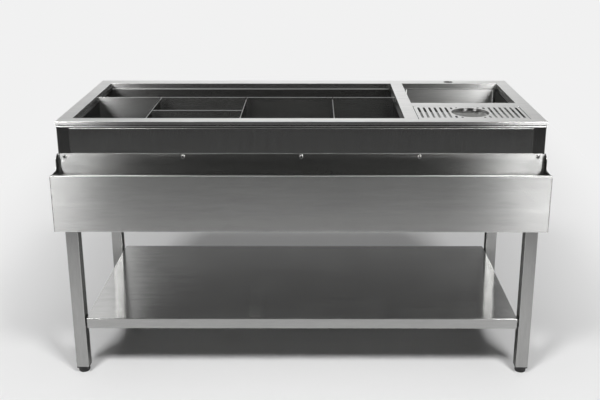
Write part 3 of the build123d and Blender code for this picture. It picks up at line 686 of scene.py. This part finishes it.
def pad_profile(radius, high):
    """Points (radius, height, flute share) from the socket's middle over the rim to the sole's middle."""
    points = [(0, PAD_SOCKET_FLOOR, 0), (PAD_SOCKET, PAD_SOCKET_FLOOR, 0), (PAD_SOCKET, PAD_CUP_FLOOR, 0),
              (PAD_CUP, PAD_CUP_FLOOR, 0), (PAD_CUP, high - PAD_CUP_CHAMFER, 0),
              (PAD_CUP + PAD_CUP_CHAMFER, high, 0)]
    rim = []
    for step in range(PAD_ROUND_STEPS + 1):
        share = step / PAD_ROUND_STEPS
        angle = math.pi / 2 * (1 - share)
        rim.append((radius - PAD_ROUND * (1 - math.cos(angle)), PAD_ROUND * (1 - math.sin(angle)), share))
    points += [(r, high - drop, share) for r, drop, share in rim]
    points += reversed(rim)
    groove = PAD_GROOVE_DEPTH
    points += [(PAD_GROOVE_OUTER, 0, 0), (PAD_GROOVE_OUTER - groove, groove, 0)]
    points += [(PAD_GROOVE_INNER + groove, groove, 0), (PAD_GROOVE_INNER, 0, 0), (0, 0, 0)]
    return points


def fluted(radius, share):
    """Radius of the fluted rim as a function of the turn, with a share of the flutes' depth."""

    def at(turn):
        wave = (1 - math.cos(PAD_FLUTES * turn)) / 2
        return radius - PAD_FLUTE_DEPTH * share * wave ** PAD_FLUTE_POWER

    return at


def make_pad(foot):
    """A moulded foot with a fluted rim and a cup for the screw's hexagon."""
    x, y, low, high = centre_of(f"{foot}_pad")
    box_low, box_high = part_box(f"{foot}_pad")
    radius = (box_high[X_AXIS] - box_low[X_AXIS]) / 2
    mesh = bmesh.new()
    rings = []
    for r, z, share in pad_profile(radius, high - low):
        if r == 0:
            rings.append(tip(mesh, x, y, low + z))
        else:
            rings.append(ring(mesh, x, y, low + z, fluted(r, share), PAD_SIDES))
    lathe(mesh, rings, PAD_SIDES)
    pad = finish_mesh(mesh, f"{foot}_moulded_pad", black, PAD_SHARP)
    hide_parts(f"{foot}_pad")
    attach(pad, f"{foot}_pad")


def seen_by_eye(tree):
    """1 for rays from the camera, a mirror or glass, 0 for the light that falls on things."""
    path = node(tree, "ShaderNodeLightPath")
    seen = math_node(tree, "MAXIMUM", path.outputs["Is Camera Ray"], path.outputs["Is Glossy Ray"])
    return math_node(tree, "MAXIMUM", seen, path.outputs["Is Transmission Ray"])


def floor_paint():
    """A pale paint that keeps the shadow, dim far in front as painted shade, and white in the distance and at
    the sides.
    """
    material, tree, output = new_material("floor_paint")
    place = node(tree, "ShaderNodeTexCoord").outputs["Object"]
    axes = three_parts(tree, place)
    near = map_range(tree, axes["Y"], FADE_END, FADE_START, 0, 1, smooth=True)
    shader = node(tree, "ShaderNodeBsdfPrincipled")
    shader.inputs["Roughness"].default_value = FLOOR_ROUGHNESS
    shader.inputs["Specular IOR Level"].default_value = FLOOR_GLOSS
    # Painted shade: the floor's colour darkens far out in front
    tree.links.new(map_range(tree, near, 0, 1, FLOOR_PAINTED_SHADE, FLOOR_PALE), shader.inputs["Base Color"])
    away = node(tree, "ShaderNodeVectorMath", operation="LENGTH")
    tree.links.new(place, away.inputs[0])
    far = map_range(tree, away.outputs["Value"], FAR_START, FAR_END, 0, 1, smooth=True)
    aside = math_node(tree, "ABSOLUTE", axes["X"])
    beside = map_range(tree, aside, BESIDE_START, BESIDE_END, 0, 1, smooth=True)
    plain = math_node(tree, "MAXIMUM", far, beside)
    white = node(tree, "ShaderNodeEmission")
    white.inputs["Color"].default_value = (FAR_WHITE, FAR_WHITE, FAR_WHITE, 1)
    mix = node(tree, "ShaderNodeMixShader")
    tree.links.new(times(tree, times(tree, plain, near), seen_by_eye(tree)), mix.inputs[0])
    tree.links.new(shader.outputs[0], mix.inputs[1])
    tree.links.new(white.outputs[0], mix.inputs[2])
    tree.links.new(mix.outputs[0], output.inputs["Surface"])
    return material


def make_floor():
    """A large flat floor under the object."""
    mesh = bpy.data.meshes.new("floor")
    half = FLOOR_HALF
    corners = [(-half, -half, 0), (half, -half, 0), (half, half, 0), (-half, half, 0)]
    mesh.from_pydata(corners, [], [(0, 1, 2, 3)])
    mesh.materials.append(floor_paint())
    floor = bpy.data.objects.new("floor", mesh)
    scene.collection.objects.link(floor)


def sine(degrees):
    """The height of a direction, from its angle above the horizon."""
    return math.sin(math.radians(degrees))


def mixed(tree, share, first, second):
    """A number between two others, each a socket or a number, by a share from 0 to 1."""
    mix = node(tree, "ShaderNodeMix")
    feed(tree, mix.inputs["Factor"], share)
    feed(tree, mix.inputs["A"], first)
    feed(tree, mix.inputs["B"], second)
    return mix.outputs["Result"]


def room_brightness(tree):
    """Dark in front, pale walls and low pale panels at the sides and behind, and a pale ceiling."""
    axes = three_parts(tree, node(tree, "ShaderNodeTexCoord").outputs["Generated"])
    height = axes["Z"]
    to_front = times(tree, axes["Y"], -1.0)
    turn = math_node(tree, "ABSOLUTE", math_node(tree, "ARCTAN2", axes["X"], to_front))
    side = map_range(tree, turn, math.radians(SIDE_START), math.radians(SIDE_FULL), 0, 1, smooth=True)
    back_turn = math_node(tree, "ARCTAN2", axes["X"], axes["Y"])
    back_turn = math_node(tree, "ABSOLUTE", math_node(tree, "SUBTRACT", back_turn, math.radians(GAP_TURN)))
    gap_end = math.radians(GAP_SOFT)
    wall = map_range(tree, back_turn, math.radians(GAP_HALF), gap_end, ROOM_DARK, ROOM_WALL, smooth=True)
    low = map_range(tree, height, sine(PANEL_TOP), sine(PANEL_END), 1, 0, smooth=True)
    wall = mixed(tree, side, ROOM_DARK, mixed(tree, low, wall, ROOM_PANEL))
    high = map_range(tree, height, sine(CEILING_START), sine(CEILING_FULL), 0, 1, smooth=True)
    return mixed(tree, high, wall, ROOM_CEILING)


def make_world():
    """Surroundings that the camera and the steel see, and that light nothing matt."""
    world = bpy.data.worlds.new("studio")
    scene.world = world
    world.use_nodes = True
    world.cycles_visibility.diffuse = False
    world.cycles.sampling_method = "NONE"
    tree = world.node_tree
    tree.nodes.clear()
    output = node(tree, "ShaderNodeOutputWorld")
    background = node(tree, "ShaderNodeBackground")
    tree.links.new(room_brightness(tree), background.inputs["Color"])
    tree.links.new(background.outputs[0], output.inputs["Surface"])


def make_lamp(name, place, size, watts):
    """A square soft lamp that points at the object and isn't seen itself."""
    light = bpy.data.lights.new(name, "AREA")
    light.size = size
    light.energy = watts
    lamp = bpy.data.objects.new(name, light)
    lamp.location = place
    lamp.rotation_mode = "QUATERNION"
    lamp.rotation_quaternion = (Vector(LAMP_AIM) - Vector(place)).to_track_quat("-Z", "Y")
    lamp.visible_camera = False
    scene.collection.objects.link(lamp)
    return lamp


def matt_things():
    """A collection of the floor and the matt pieces."""
    things = bpy.data.collections.new("matt_things")
    for thing in scene.collection.all_objects:
        if any(look.name in MATT_LOOKS for look in thing.material_slots):
            things.objects.link(thing)
    return things


def make_lamps():
    """High lamps, which light what is matt, and low ones, which are mirrored alone."""
    high = [make_lamp("overhead_lamp", OVERHEAD_PLACE, OVERHEAD_SIZE, OVERHEAD_WATTS)]
    high += [make_lamp(name, place, LAMP_SIZE, HIGH_WATTS) for name, place in HIGH_LAMPS.items()]
    matt = matt_things()
    for lamp in high:
        lamp.visible_glossy = False
        lamp.light_linking.receiver_collection = matt
    for name, place in LOW_LAMPS.items():
        make_lamp(name, place, LAMP_SIZE, LOW_WATTS).visible_diffuse = False


def make_camera():
    """A camera in front of the object, tilted down and a little shifted."""
    data = bpy.data.cameras.new("camera")
    data.sensor_width = CAMERA_SENSOR
    data.lens = CAMERA_LENS
    data.shift_x, data.shift_y = CAMERA_SHIFT
    camera = bpy.data.objects.new("camera", data)
    camera.location = CAMERA_PLACE
    camera.rotation_euler = (math.radians(90 - CAMERA_TILT), 0, math.radians(-CAMERA_YAW))
    scene.collection.objects.link(camera)
    scene.camera = camera


dress_nodes()
for foot in FEET:
    make_stem(foot)
    make_pad(foot)
make_floor()
make_world()
make_lamps()
make_camera()
